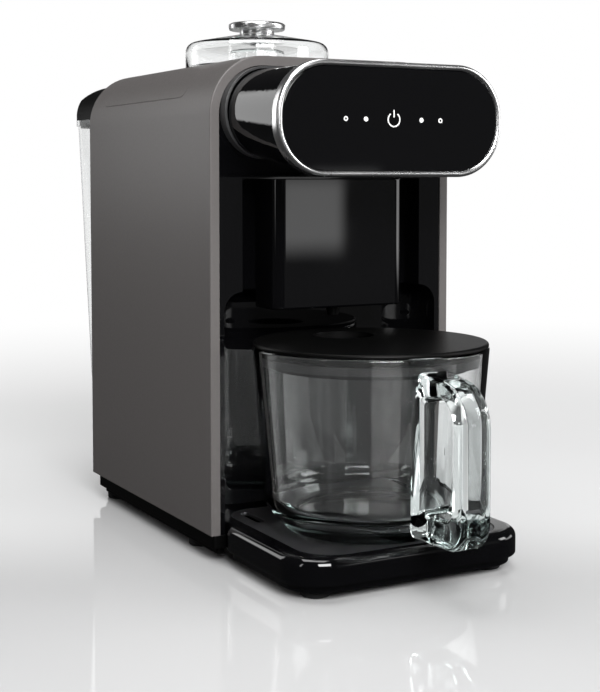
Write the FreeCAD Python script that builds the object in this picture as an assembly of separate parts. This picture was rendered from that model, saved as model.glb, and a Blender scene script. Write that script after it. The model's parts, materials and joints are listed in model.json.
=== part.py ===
import FreeCAD, Part
import math
import os

# All-in-one countertop drinks maker: a tall painted shell with a blender
# chamber under a clear dome lid, a face plate on a short barrel, a glass
# pitcher on a drip tray and a water tank behind.
# Millimetres. +Z up, +Y to the back. The origin is on the floor, at the middle
# of the whole object's length and width.

V = FreeCAD.Vector
X_AXIS = V(1, 0, 0)
Y_AXIS = V(0, 1, 0)
Z_AXIS = V(0, 0, 1)

# ---- driving dimensions ---------------------------------------------------
front = -59.6            # front plane of the painted shell
shell_depth = 221.0
shell_half = 90.0
shell_foot = 18.3
shell_top = 324.7
shell_round = 38.0       # outer radius of the shell's two top corners
skin = 2.4               # wall of moulded covers
lip = 6.3                # width of the shell's flat front edge
seam = 0.3               # gap between neighbouring covers
rear = front + shell_depth

base_low = 5.0
base_step = 9.5          # the base steps in below this height
base_top = 18.0
foot_radius = 9.0

cover_front = front + 45.0
cover_rear = front + 196.0
cover_low = 299.5

mill_y = front + 113.5   # axis of the chamber, blade, motor and dome lid
chamber_radius = 46.0
chamber_floor = 214.0
chamber_top = 319.0
shaft_radius = 3.0
running_gap = 0.05

niche_half = 80.0
niche_top = 174.0
niche_back = front + 36.0
recess_half = 67.0
recess_top = 246.5
recess_back = front + 19.0
outlet_half = 49.0
outlet_front = front - 9.0
outlet_low = 162.0

ring_half = 80.5
ring_low = 247.3
ring_high = 317.3
ring_round = 33.0
ring_front = front - 73.8
ring_back = front - 65.0
ring_width = 3.8
barrel_half = 80.9
barrel_low = 261.0
barrel_high = 315.7
barrel_round = 27.3

tray_half = 83.0
tray_front = front - 107.0
tray_rear = front - 2.5
tray_top = 26.0
tongue_half = 78.5
tongue_rear = front + 33.0
plate_half = 70.0

pitcher_y = front - 46.0
pitcher_low = 26.7
rim_height = 141.4
rim_radius = 75.3
glass_wall = 3.6
handle_out = front - 163.0
handle_half = 10.0
nozzle_y = front + 2.0
pour_hole_y = front - 2.0

tank_half = 84.0
tank_front = rear + 1.4
tank_low = 58.0
tank_rim = 292.0
tank_rim_back = front + 281.0
tank_lean = 0.1337       # how far the tank's back moves out per unit of height
tank_wall = 2.2
seat_half = 72.0
seat_top = 52.0
seat_back = front + 252.0
valve_y = front + 236.0  # axis of the tank's outlet valve

nodes = {}


# ---- shape helpers ---------------------------------------------------------
def block(x0, x1, y0, y1, z0, z1):
    return Part.makeBox(x1 - x0, y1 - y0, z1 - z0, V(x0, y0, z0))


def rod(radius, length, at, along=Z_AXIS):
    return Part.makeCylinder(radius, length, V(*at), along)


def ring(outer, inner, length, at, along=Z_AXIS):
    return rod(outer, length, at, along).cut(rod(inner, length, at, along))


def rounded_wire(corners, place):
    """Closed wire through (u, v, radius) corners, laid in space by place(u, v)."""
    flat = [V(u, v, 0) for u, v, _ in corners]
    starts, ends, mids = [], [], []
    count = len(corners)
    for i, corner in enumerate(flat):
        radius = corners[i][2]
        to_prev = (flat[i - 1] - corner).normalize()
        to_next = (flat[(i + 1) % count] - corner).normalize()
        if radius <= 0:
            starts.append(corner)
            ends.append(corner)
            mids.append(None)
            continue
        half = to_prev.getAngle(to_next) / 2
        reach = radius / math.tan(half)
        inward = (to_prev + to_next).normalize()
        starts.append(corner + to_prev * reach)
        ends.append(corner + to_next * reach)
        mids.append(corner + inward * (radius / math.sin(half) - radius))
    edges = []
    for i in range(count):
        if mids[i] is not None:
            arc = [place(p.x, p.y) for p in (starts[i], mids[i], ends[i])]
            edges.append(Part.Arc(*arc).toShape())
        here, there = ends[i], starts[(i + 1) % count]
        if (here - there).Length > 1e-6:
            edges.append(Part.LineSegment(place(here.x, here.y), place(there.x, there.y)).toShape())
    return Part.Wire(edges)


def slab_x(corners, x0, x1):
    wire = rounded_wire(corners, lambda u, v: V(x0, u, v))
    return Part.Face(wire).extrude(V(x1 - x0, 0, 0))


def slab_y(corners, y0, y1):
    wire = rounded_wire(corners, lambda u, v: V(u, y0, v))
    return Part.Face(wire).extrude(V(0, y1 - y0, 0))


def slab_z(corners, z0, z1):
    wire = rounded_wire(corners, lambda u, v: V(u, v, z0))
    return Part.Face(wire).extrude(V(0, 0, z1 - z0))


def turned(corners, axis_y):
    """Solid of revolution about the vertical line x = 0, y = axis_y."""
    wire = rounded_wire(corners, lambda u, v: V(u, axis_y, v))
    return Part.Face(wire).revolve(V(0, axis_y, 0), Z_AXIS, 360)


def rect(u0, u1, v0, v1, low_radius=0.0, high_radius=None):
    """Rectangle corners; the v0 pair has low_radius and the v1 pair high_radius."""
    top = low_radius if high_radius is None else high_radius
    return [(u0, v0, low_radius), (u1, v0, low_radius), (u1, v1, top), (u0, v1, top)]


def arch(inset, y0, y1, low=shell_foot):
    """The shell's inverted-U outline, moved inwards by inset."""
    half = shell_half - inset
    return slab_y(rect(-half, half, low, shell_top - inset, 0, shell_round - inset), y0, y1)


def soften(solid, radius, chosen):
    """Round every edge for which chosen(edge's bounding box) is true."""
    edges = [edge for edge in solid.Edges if chosen(edge.BoundBox)]
    return solid.makeFillet(radius, edges)


def tube(points, bend, outer, inner):
    """Hollow tube along points, with every corner bent to one radius."""
    edges = []
    last = V(*points[0])
    for i in range(1, len(points) - 1):
        corner = V(*points[i])
        to_prev = (V(*points[i - 1]) - corner).normalize()
        to_next = (V(*points[i + 1]) - corner).normalize()
        half = to_prev.getAngle(to_next) / 2
        reach = bend / math.tan(half)
        first = corner + to_prev * reach
        final = corner + to_next * reach
        middle = corner + (to_prev + to_next).normalize() * (bend / math.sin(half) - bend)
        edges.append(Part.LineSegment(last, first).toShape())
        edges.append(Part.Arc(first, middle, final).toShape())
        last = final
    edges.append(Part.LineSegment(last, V(*points[-1])).toShape())
    path = Part.Wire(edges)
    start = V(*points[0])
    heading = (V(*points[1]) - start).normalize()

    def swept(radius):
        section = Part.Wire([Part.Circle(start, heading, radius).toShape()])
        return path.makePipeShell([section], True, False)

    return swept(outer).cut(swept(inner))


def fused(shapes):
    return shapes[0].multiFuse(shapes[1:]).removeSplitter()


def cut_all(solid, tools):
    for tool in tools:
        solid = solid.cut(tool)
    return solid


def screw(at, along, head_radius, head_height, shank_radius, shank_length):
    """Pan-head screw: at is under the head, along points from head to tip."""
    shank = rod(shank_radius, shank_length, at, along)
    head_at = V(*at) - along * head_height
    head = Part.makeCylinder(head_radius, head_height, head_at, along)
    slot = Part.makeCylinder(shank_radius * 0.6, head_height * 0.5, head_at, along)
    return head.fuse(shank).cut(slot)


def keep(name, shape):
    nodes[name] = shape


# ---- base and feet -----------------------------------------------------------
base_screw_places = [(x, front + d) for x in (-67.5, 67.5) for d in (84.0, 150.0)]
foot_places = [(x, front + d) for x in (-74.0, 74.0) for d in (50.0, 205.0)]
tray_foot_places = [(x, front - 86.0) for x in (-62.0, 62.0)]


def make_base():
    upper = slab_z(rect(-88, 88, front + 1, rear - 1, 2, 12), base_step, base_top)
    lower = slab_z(rect(-84, 84, front + 4, rear - 5, 2, 10), base_low, base_step)
    pan = fused([upper, lower])
    pocket = slab_z(rect(-81, 81, front + 42, rear - 8, 8), base_low + skin, base_top + 1)
    bay = block(-79.2, 79.2, front - 1, front + 39, base_low - 1, base_top + 1)
    pan = cut_all(pan, [pocket, bay])
    bosses = [rod(6, 4, (x, y, base_low + skin)) for x, y in base_screw_places]
    pan = fused([pan] + bosses)
    holes = [rod(2.1, 12, (x, y, base_low - 1)) for x, y in base_screw_places]
    sinks = [rod(4.6, 3.2, (x, y, base_low - 1)) for x, y in base_screw_places]
    return cut_all(pan, holes + sinks)


def make_feet(places, height):
    pads = []
    for x, y in places:
        pad = rod(foot_radius, height, (x, y, 0))
        pads.append(soften(pad, 1.2, lambda box: box.ZMax < 0.01))
    return Part.makeCompound(pads)


keep("base_pan", make_base())
keep("base_feet", make_feet(foot_places, base_low))


# ---- painted shell and its top cover ------------------------------------------
def cover_region(grow):
    corners = rect(cover_front - grow, cover_rear + grow, cover_low - grow, 340, 7, 0)
    return slab_x(corners, -120, 120)


def make_shell():
    body = arch(0, front, rear)
    body = soften(body, 1.0, lambda box: box.YLength < 0.01 and box.ZMax > shell_foot + 1)
    hollow = arch(skin, front + skin, rear - skin, shell_foot - 1)
    front_window = arch(lip, front - 1, front + 10, shell_foot - 1)
    rear_window = arch(4.0, rear - 10, rear + 1, shell_foot - 1)
    return cut_all(body, [hollow, front_window, rear_window, cover_region(0)])


def make_top_cover():
    face = arch(0, front, rear).cut(arch(skin, front - 1, rear + 1, shell_foot - 1))
    ledge = arch(skin + 0.1, front, rear).cut(arch(skin + 1.3, front - 1, rear + 1, shell_foot - 1))
    cover = face.common(cover_region(-seam))
    backing = ledge.common(cover_region(5.0))
    joint_band = arch(skin, front, rear).cut(arch(skin + 0.1, front - 1, rear + 1, shell_foot - 1))
    cover = fused([cover, joint_band.common(cover_region(-seam)), backing])
    return cover.cut(rod(49.2, 30, (0, mill_y, shell_top - 20)))


keep("shell", make_shell())
keep("top_cover", make_top_cover())


# ---- black front: fascia, outlet housing, trim, barrel, ring and face plate ----
def make_fascia():
    face = front + 0.8
    panel = arch(lip + seam, face, face + skin, base_top + seam)
    opening = slab_y(rect(-niche_half, niche_half, 0, niche_top, 0, 13), front - 1, niche_back)
    deep = slab_z(rect(-niche_half, niche_half, front - 60, niche_back, 0, 26), 0, niche_top)
    recess = block(-recess_half, recess_half, front - 1, recess_back, niche_top - 30, recess_top)
    niche_case = slab_z(
        rect(-niche_half - skin, niche_half + skin, face, niche_back + skin, 0, 28),
        base_top + seam, niche_top + skin)
    recess_case = block(-recess_half - skin, recess_half + skin, face,
                        recess_back + skin, niche_top - 2, recess_top + skin)
    barrel_hole = slab_y(rect(-81.3, 81.3, barrel_low - 0.4, barrel_high + 0.4, 27.6),
                         front - 1, face + skin + 1)
    pipe_hole = rod(7.0, 12, (0, recess_back - 4, outlet_pipe_height), Y_AXIS)
    fascia = fused([panel, niche_case, recess_case])
    return cut_all(fascia, [opening.common(deep), recess, barrel_hole, pipe_hole])


outlet_pipe_height = 222.0
keep("fascia", make_fascia())


def make_outlet_housing():
    top = recess_top - seam
    outer = slab_z(rect(-outlet_half, outlet_half, outlet_front, recess_back - seam, 8, 0),
                   outlet_low, top)
    outer = soften(outer, 1.5, lambda box: box.ZMax < outlet_low + 0.01 and box.YMin < front + 15)
    inner = slab_z(rect(-outlet_half + skin, outlet_half - skin, outlet_front + skin,
                        recess_back + 1, 6, 0), outlet_low + skin, top - skin)
    nozzle_hole = rod(5.2, 8, (0, nozzle_y, outlet_low - 2))
    return cut_all(outer, [inner, nozzle_hole])


keep("outlet_housing", make_outlet_housing())


def stadium(half, low, high, radius):
    return rect(-half, half, low, high, radius)


def make_trim_ring():
    outer = slab_y(stadium(82.9, 258.9, 317.5, 29.2), front - 7.0, front + 0.6)
    inner = slab_y(stadium(81.1, 260.7, 315.9, 27.5), front - 8.0, front + 1.0)
    return cut_all(outer, [inner, barrel_loft(-0.15, ring_back + 0.2, front + 3.0)])


def barrel_loft(inset, y0, y1):
    """Loft from the face ring's outline back to the smaller trim outline."""
    near = rounded_wire(stadium(ring_half - 2 - inset, ring_low + 2 + inset,
                                ring_high - 2 - inset, ring_round - 2 - inset),
                        lambda u, v: V(u, y0, v))
    far = rounded_wire(stadium(barrel_half - inset, barrel_low + inset,
                               barrel_high - inset, barrel_round - inset),
                       lambda u, v: V(u, y1, v))
    return Part.makeLoft([near, far], True, True)


def make_barrel():
    outer = barrel_loft(0, ring_back + 0.2, front + 3.0)
    inner = barrel_loft(skin, ring_back + 0.1, front + 3.1)
    return outer.cut(inner)


def make_face_ring():
    outer = slab_y(stadium(ring_half, ring_low, ring_high, ring_round), ring_front, ring_back)
    outer = soften(outer, 1.1, lambda box: box.YMax < ring_front + 0.01)
    inset = ring_width
    window = slab_y(stadium(ring_half - inset, ring_low + inset, ring_high - inset,
                            ring_round - inset), ring_front - 1, ring_front + 4.4)
    inset = ring_width + 2.4
    passage = slab_y(stadium(ring_half - inset, ring_low + inset, ring_high - inset,
                             ring_round - inset), ring_front, ring_back + 1)
    return cut_all(outer, [window, passage])


def make_face_plate():
    inset = ring_width + 0.15
    return slab_y(stadium(ring_half - inset, ring_low + inset, ring_high - inset,
                          ring_round - inset), ring_front + 0.9, ring_front + 4.2)


def make_touch_board():
    board = slab_y(rect(-62, 62, 258, 306, 6), ring_front + 5.2, ring_front + 6.8)
    pads = [rod(5.0, 0.8, (x, ring_front + 4.4, 282.3), Y_AXIS) for x in range(-50, 51, 20)]
    chip = block(-9, 9, ring_front + 6.8, ring_front + 9.2, 286, 298)
    plug = block(20, 40, ring_front + 6.8, ring_front + 13.0, 264, 272)
    return fused([board, chip, plug] + pads)


keep("trim_ring", make_trim_ring())
keep("head_barrel", make_barrel())
keep("face_ring", make_face_ring())
keep("face_plate", make_face_plate())
keep("touch_board", make_touch_board())


# ---- blender chamber, blade and motor ------------------------------------------
deck_low = 192.0
deck_high = 195.0
leg_inner = 66.0
leg_outer = 69.0
deck_front = front + 64.0
deck_rear = front + 166.0
motor_screw_places = [(24 * math.cos(a), mill_y + 24 * math.sin(a))
                      for a in (math.pi / 4 + k * math.pi / 2 for k in range(4))]


def make_chassis():
    deck = block(-leg_outer, leg_outer, deck_front, deck_rear, deck_low, deck_high)
    parts = [deck]
    for side in (-1, 1):
        x0, x1 = sorted((side * leg_inner, side * leg_outer))
        leg = block(x0, x1, deck_front, deck_rear, base_low + skin + 4.2, deck_high)
        shelf = block(min(side * 61, side * leg_outer), max(side * 61, side * leg_outer),
                      deck_front, deck_rear, base_low + skin + 4.2, base_low + skin + 9.2)
        parts += [leg, shelf]
    frame = fused(parts)
    holes = [rod(14.0, 10, (0, mill_y, deck_low - 3))]
    holes += [rod(2.1, 10, (x, y, deck_low - 3)) for x, y in motor_screw_places]
    holes += [rod(2.1, 12, (x, y, base_low)) for x, y in base_screw_places]
    return cut_all(frame, holes)


def make_chamber():
    cup = turned([(0, chamber_floor, 0), (chamber_radius - 0.5, chamber_floor, 9),
                  (chamber_radius - 0.5, chamber_top, 0), (48.6, chamber_top, 0),
                  (48.6, chamber_top + 1.6, 0), (chamber_radius - 1.7, chamber_top + 1.6, 0),
                  (chamber_radius - 1.7, chamber_floor + 1.6, 7.8), (0, chamber_floor + 1.6, 0)],
                 mill_y)
    spout = rod(6.2, 12, (0, mill_y - chamber_radius - 8.5, outlet_pipe_height), Y_AXIS)
    bore = rod(4.6, 16, (0, mill_y - chamber_radius - 9, outlet_pipe_height), Y_AXIS)
    inside = rod(chamber_radius - 1.7, 60, (0, mill_y, chamber_floor + 5))
    cup = fused([cup, spout.cut(inside)])
    feed_bore = rod(3.0, 12, (0, mill_y + chamber_radius - 6, 304), Y_AXIS)
    probe_bore = rod(2.6, 10, (chamber_radius - 6, mill_y, 236), X_AXIS)
    seal_hole = rod(8.0, 8, (0, mill_y, chamber_floor - 2))
    return cut_all(cup, [bore, feed_bore, probe_bore, seal_hole])


def make_shaft_bush():
    body = rod(7.9, 14, (0, mill_y, 208))
    flange = rod(11.0, 1.6, (0, mill_y, chamber_floor + 1.7))
    return fused([body, flange]).cut(rod(shaft_radius + running_gap, 20, (0, mill_y, 205)))


def make_blade():
    hub = ring(6.5, shaft_radius, 13, (0, mill_y, 223.6))
    arms = []
    for k in range(4):
        reach = 30.0 if k % 2 else 26.0
        rise = 9.0 if k % 2 else 3.0
        corners = [(5.0, 226.0, 0), (17.0, 226.0, 6), (reach, 226.0 + rise, 0),
                   (reach - 0.5, 227.2 + rise, 0), (17.0, 227.2, 6), (5.0, 227.2, 0)]
        wire = rounded_wire(corners, lambda u, v: V(u, mill_y - 4.0, v))
        arm = Part.Face(wire).extrude(V(0, 8.0, 0))
        sweep = slab_z([(4, mill_y - 6, 0), (reach + 2, mill_y - 1.0, 0),
                        (reach + 2, mill_y + 4.2, 0), (4, mill_y + 6, 0)], 220, 245)
        arm = arm.common(sweep)
        arm.rotate(V(0, mill_y, 0), Z_AXIS, 90.0 * k)
        arms.append(arm)
    return fused([hub] + arms).cut(rod(shaft_radius, 30, (0, mill_y, 215)))


motor_low = 104.0
motor_top = 184.0


def make_motor():
    can = turned([(0, motor_low, 0), (33, motor_low, 4), (33, motor_top, 0), (36, motor_top, 0),
                  (36, motor_top + 3.5, 1), (12, motor_top + 3.5, 0), (12, motor_top + 6.5, 0),
                  (0, motor_top + 6.5, 0)], mill_y)
    slots = []
    for k in range(12):
        slot = block(28, 36, mill_y - 2.2, mill_y + 2.2, motor_low + 10, motor_low + 26)
        slot.rotate(V(0, mill_y, 0), Z_AXIS, 30.0 * k + 15)
        slots.append(slot)
    bore = rod(shaft_radius + running_gap, 60, (0, mill_y, motor_top - 40))
    holes = [rod(1.6, 12, (x, y, motor_top - 6)) for x, y in motor_screw_places]
    return cut_all(can, slots + [bore] + holes)


mount_low = motor_top + 3.5
keep("inner_chassis", make_chassis())
keep("grinding_chamber", make_chamber())
keep("shaft_bush", make_shaft_bush())
keep("blade", make_blade())
keep("drive_shaft", rod(shaft_radius, 236.6 - 150.0, (0, mill_y, 150.0)))
keep("drive_coupling", ring(9.0, shaft_radius, 9.0, (0, mill_y, 197.0)))
keep("motor", make_motor())
keep("motor_mounts", Part.makeCompound(
    [ring(5.5, 2.2, deck_low - mount_low, (x, y, mount_low)) for x, y in motor_screw_places]))
keep("motor_screws", Part.makeCompound(
    [screw((x, y, deck_high), V(0, 0, -1), 3.6, 2.4, 1.5, 16.0) for x, y in motor_screw_places]))
keep("chamber_support", ring(43.0, 34.0, 208.4 - deck_high, (0, mill_y, deck_high)))
keep("heater_plate", ring(43.0, 12.5, chamber_floor - 208.5, (0, mill_y, 208.4)))
keep("chamber_gasket", ring(48.4, 45.2, 3.4, (0, mill_y, chamber_top + 1.6)))
keep("temperature_probe", fused([
    rod(2.55, 13, (chamber_radius - 2.6, mill_y, 236), X_AXIS),
    rod(4.5, 6, (chamber_radius + 0.2, mill_y, 236), X_AXIS)]))


# ---- discharge valve, outlet pipe and nozzle -------------------------------------
valve_centre = front + 47.0
rotor_radius = 8.0


def make_valve_body():
    housing = slab_y(rect(-14, 14, outlet_pipe_height - 13, outlet_pipe_height + 13, 4),
                     valve_centre - 12, valve_centre + 12)
    seat = rod(rotor_radius + running_gap, 30,
               (-15, valve_centre, outlet_pipe_height), X_AXIS)
    bore = rod(4.6, 40, (0, valve_centre - 20, outlet_pipe_height), Y_AXIS)
    return cut_all(housing, [seat, bore])


def make_valve_rotor():
    plug = rod(rotor_radius, 27.6, (-13.8, valve_centre, outlet_pipe_height), X_AXIS)
    stem = rod(2.5, 8.0, (13.8, valve_centre, outlet_pipe_height), X_AXIS)
    port = rod(4.0, 40, (0, valve_centre - 20, outlet_pipe_height), Y_AXIS)
    return fused([plug, stem]).cut(port)


def make_valve_motor():
    case = slab_x(rect(valve_centre - 13, valve_centre + 13, outlet_pipe_height - 13,
                       outlet_pipe_height + 13, 5), 15.0, 33.0)
    bore = rod(2.5 + running_gap, 10, (14.5, valve_centre, outlet_pipe_height), X_AXIS)
    return case.cut(bore)


pipe_start = valve_centre - 12.0
keep("valve_body", make_valve_body())
keep("valve_rotor", make_valve_rotor())
keep("valve_motor", make_valve_motor())
keep("valve_hose", ring(8.4, 6.3, mill_y - chamber_radius - valve_centre - 12.2,
                        (0, valve_centre + 12.0, outlet_pipe_height), Y_AXIS))
keep("outlet_pipe", tube([(0, pipe_start, outlet_pipe_height), (0, nozzle_y, outlet_pipe_height),
                          (0, nozzle_y, 178.0)], 12.0, 4.6, 3.2))


def make_nozzle():
    body = turned([(2.6, 156.0, 0), (3.8, 156.0, 0.6), (4.6, 161.0, 0), (4.6, 166.0, 0),
                   (7.6, 166.0, 0), (7.6, 178.0, 1), (4.7, 178.0, 0), (4.7, 170.0, 0),
                   (2.6, 167.0, 0)], nozzle_y)
    return body


keep("outlet_nozzle", make_nozzle())
keep("nozzle_seal", ring(7.4, 4.7, 1.5, (0, nozzle_y, outlet_low + skin)))


# ---- dome lid ---------------------------------------------------------------------
dome_radius = 52.0
dome_low = shell_top + 0.3


def make_dome():
    outer = turned([(0, dome_low, 0), (dome_radius, dome_low, 0), (dome_radius, 343.0, 7),
                    (13.0, 350.3, 40), (0, 350.3, 0)], mill_y)
    inner = turned([(0, dome_low - 1, 0), (dome_radius - 2.4, dome_low - 1, 0),
                    (dome_radius - 2.4, 340.8, 5), (12.0, 347.9, 38), (0, 347.9, 0)], mill_y)
    return cut_all(outer, [inner, rod(3.2, 10, (0, mill_y, 344))])


def make_lid_liner():
    return turned([(0, 327.4, 0), (14.6, 327.4, 0), (14.6, 331.0, 0), (17.6, 331.0, 0),
                   (17.6, 337.4, 0), (0, 337.4, 0), (0, 339.0, 0), (20.0, 339.0, 1.2),
                   (20.0, 329.6, 1.0), (17.0, 329.6, 0), (17.0, 327.2, 0), (49.0, 327.2, 0),
                   (49.0, 325.4, 0), (44.2, 325.4, 0), (44.2, 313.0, 0), (42.2, 313.0, 0),
                   (42.2, 325.4, 0), (0, 325.4, 0)], mill_y)


def make_knob():
    return turned([(0, 350.5, 0), (12.5, 350.5, 0), (12.5, 353.2, 0.6), (20.4, 353.6, 0.8),
                   (21.0, 358.0, 1.6), (0, 358.6, 0)], mill_y)


keep("dome_lid", make_dome())
keep("lid_liner", make_lid_liner())
keep("lid_knob", make_knob())
keep("knob_screw", screw((0, mill_y, 347.6), Z_AXIS, 5.0, 2.4, 2.9, 2.8))
keep("lid_magnet", rod(1.9, 5.6, (25.4, mill_y - 13.6, 327.3)))
keep("lid_sensor", block(21, 31, mill_y - 60, mill_y - 51, 312.0, 320.5))


# ---- rear panel, tank seat, pump and hoses -------------------------------------------
rear_screw_places = [(x, z) for x in (-78.0, 78.0) for z in (34.0, 170.0, 280.0)]
gland_x = 40.0
gland_z = 34.0


panel_back = rear - skin - 0.1


def make_rear_panel():
    plate = arch(skin + 0.25, rear - skin * 2, panel_back, base_top + seam)
    window = block(-60, 60, rear - 8, rear - 1, base_top + 4, seat_top - skin)
    screw_holes = [rod(2.1, 12, (x, rear - 9, z), Y_AXIS) for x, z in rear_screw_places]
    return cut_all(plate, [window] + screw_holes)


def make_tank_seat():
    """Hollow shelf under the tank, open below and towards the rear panel's window."""
    seat = slab_z(rect(-seat_half, seat_half, panel_back, seat_back, 0, 18), base_top + 2, seat_top)
    hollow = slab_z(rect(-seat_half + skin, seat_half - skin, rear - 12, seat_back - skin, 0, 16),
                    base_top + 1, seat_top - skin)
    socket = rod(11.5, 12, (0, valve_y, seat_top - 12))
    bore = rod(9.0, 10.1, (0, valve_y, seat_top - 10))
    outlet = rod(3.4, 10, (0, valve_y, seat_top - 16))
    gland_hole = rod(7.1, 12, (gland_x, seat_back - 8, gland_z), Y_AXIS)
    return cut_all(fused([seat.cut(hollow), socket]), [bore, outlet, gland_hole])


def make_gland():
    body = rod(7.0, 10, (gland_x, seat_back - 8, gland_z), Y_AXIS)
    flange = rod(9.5, 2.0, (gland_x, seat_back, gland_z), Y_AXIS)
    nut = slab_y([(gland_x + 11 * math.cos(k * math.pi / 3),
                   gland_z + 11 * math.sin(k * math.pi / 3), 0) for k in range(6)],
                 seat_back - skin - 4.5, seat_back - skin - 0.1)
    return fused([body, flange, nut]).cut(rod(3.6, 16, (gland_x, seat_back - 10, gland_z), Y_AXIS))


pump_x = -34.0
pump_z = 42.5
hose_z = 30.0


def make_pump():
    body = rod(15.0, 38, (pump_x, rear - 66, pump_z), Y_AXIS)
    head = rod(17.0, 12, (pump_x, rear - 28, pump_z), Y_AXIS)
    inlet = rod(3.5, 7.5, (pump_x, rear - 16, hose_z), Y_AXIS)
    outlet = rod(3.5, 12, (pump_x, rear - 22, pump_z + 14.5))
    foot = block(pump_x - 14, pump_x + 14, rear - 60, rear - 34, base_low + skin, pump_z - 8)
    return fused([body, head, inlet, outlet, foot])


keep("rear_panel", make_rear_panel())
keep("tank_seat", make_tank_seat())
keep("rear_screws", Part.makeCompound(
    [screw((x, rear - skin - 0.1, z), V(0, -1, 0), 3.8, 2.2, 1.9, 9.0)
     for x, z in rear_screw_places]))
keep("base_screws", Part.makeCompound(
    [screw((x, y, base_low + 2.2), Z_AXIS, 4.0, 2.0, 1.9, 9.0) for x, y in base_screw_places]))
keep("cord_gland", make_gland())
keep("water_pump", make_pump())
keep("intake_hose", tube([(0, valve_y, seat_top - 12.1), (0, valve_y, hose_z),
                          (pump_x, valve_y, hose_z), (pump_x, rear - 8.4, hose_z)],
                         8.0, 4.2, 3.0))
keep("feed_hose", tube([(pump_x, rear - 22, pump_z + 26.7), (pump_x, rear - 22, 304.0),
                        (0, rear - 22, 304.0), (0, mill_y + chamber_radius - 0.3, 304.0)],
                       14.0, 4.4, 3.0))


# ---- boards on the chassis legs ------------------------------------------------------
standoff_places = [(front + d, z) for d in (78.0, 152.0) for z in (44.0, 176.0)]


def make_board(side, relay_count):
    def across(a, b):
        return sorted((side * a, side * b))

    x0, x1 = across(74.0, 75.6)
    board = slab_x(rect(front + 72, front + 158, 38, 182, 3), x0, x1)
    lumps = []
    for k in range(relay_count):
        a, b = across(75.6, 83.0)
        z = 50 + k * 30
        lumps.append(block(a, b, front + 84, front + 106, z, z + 16))
    for k in range(3):
        at = (side * 75.6, front + 128, 70 + 34 * k)
        lumps.append(rod(6.0, 8.0, at, X_AXIS * side))
    holes = [rod(1.7, 6, (x0 - 2, y, z), X_AXIS) for y, z in standoff_places]
    return cut_all(fused([board] + lumps), holes)


def make_standoffs(side):
    return [ring(3.2, 1.5, 5.0, (side * leg_outer, y, z), X_AXIS * side)
            for y, z in standoff_places]


keep("power_board", make_board(1, 4))
keep("control_board", make_board(-1, 2))
keep("board_standoffs", Part.makeCompound(make_standoffs(1) + make_standoffs(-1)))


# ---- drip tray -------------------------------------------------------------------------
plate_front = front - 100.0


def make_drip_tray():
    slab = slab_z(rect(-tray_half, tray_half, tray_front, tray_rear, 27, 8), base_step, tray_top)
    slab = soften(slab, 5.5, lambda box: box.ZMin > tray_top - 0.01)
    slab = soften(slab, 1.6, lambda box: box.ZMax < base_step + 0.01)
    skirt = slab_z(rect(-tray_half + 4, tray_half - 4, tray_front + 4, tray_rear - 2, 24, 6),
                   base_low, base_step)
    tongue = slab_z(rect(-tongue_half, tongue_half, tray_rear - 30, tongue_rear, 0, 24),
                    base_step, tray_top)
    tray = fused([slab, skirt, tongue])
    recess = slab_z(rect(-plate_half, plate_half, plate_front, tongue_rear - 4, 24, 20),
                    tray_top - 2.4, tray_top + 2)
    pocket = slab_z(rect(-plate_half + 4, plate_half - 4, plate_front + 4, tongue_rear - 8, 20, 17),
                    base_step + 2.4, tray_top)
    return cut_all(tray, [recess, pocket])


def make_tray_plate():
    plate = slab_z(rect(-plate_half + seam, plate_half - seam, plate_front + seam,
                        tongue_rear - 4 - seam, 23.7, 19.7), tray_top - 2.4, tray_top - 0.3)
    slots = [slab_z(rect(x - 3, x + 3, front - 8, front + 20, 2.9), tray_top - 4, tray_top + 1)
             for x in (-58.0, 58.0)]
    return cut_all(plate, slots)


keep("drip_tray", make_drip_tray())
keep("tray_plate", make_tray_plate())
keep("tray_feet", make_feet(tray_foot_places, base_low))


# ---- glass pitcher and its lid -------------------------------------------------------------
wall_low = 50.0
wall_low_radius = 68.0


def inside_radius(z):
    slope = (rim_radius - wall_low_radius) / (rim_height - wall_low)
    return wall_low_radius + slope * (z - wall_low) - glass_wall


def make_pitcher():
    body = turned([(0, pitcher_low + 2.4, 0), (46.0, pitcher_low + 2.4, 3),
                   (48.5, pitcher_low, 1.5), (54.0, pitcher_low, 5),
                   (wall_low_radius - 0.9, wall_low - 9.0, 14),
                   (rim_radius, rim_height, 1.7), (rim_radius - glass_wall, rim_height, 1.7),
                   (wall_low_radius - glass_wall - 1.2, wall_low - 7.5, 12), (50.0, 37.0, 4),
                   (0, 36.0, 0)], pitcher_y)
    hollow = turned([(0, 36.0, 0), (50.0, 37.0, 4),
                     (wall_low_radius - glass_wall - 1.2, wall_low - 7.5, 12),
                     (rim_radius - glass_wall, rim_height, 0), (0, rim_height, 0)], pitcher_y)
    near = front - 112.0
    loop = slab_x([(near, 33.5, 0), (handle_out, 33.5, 17), (handle_out, 131.0, 24),
                   (near, 131.0, 0)], -handle_half, handle_half)
    loop = soften(loop, 2.6, lambda box: box.XLength < 0.01 and box.YMin < near - 0.1)
    gap = slab_x([(front - 124.0, 51.0, 4), (front - 150.0, 51.0, 9),
                  (front - 150.0, 120.0, 13), (front - 124.0, 120.0, 3)],
                 -handle_half - 1, handle_half + 1)
    loop = loop.cut(gap).cut(hollow)
    return fused([body, loop])


lid_low = rim_height + 0.3
lid_top = lid_low + 2.4
dish_y = front - 12.0


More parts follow.
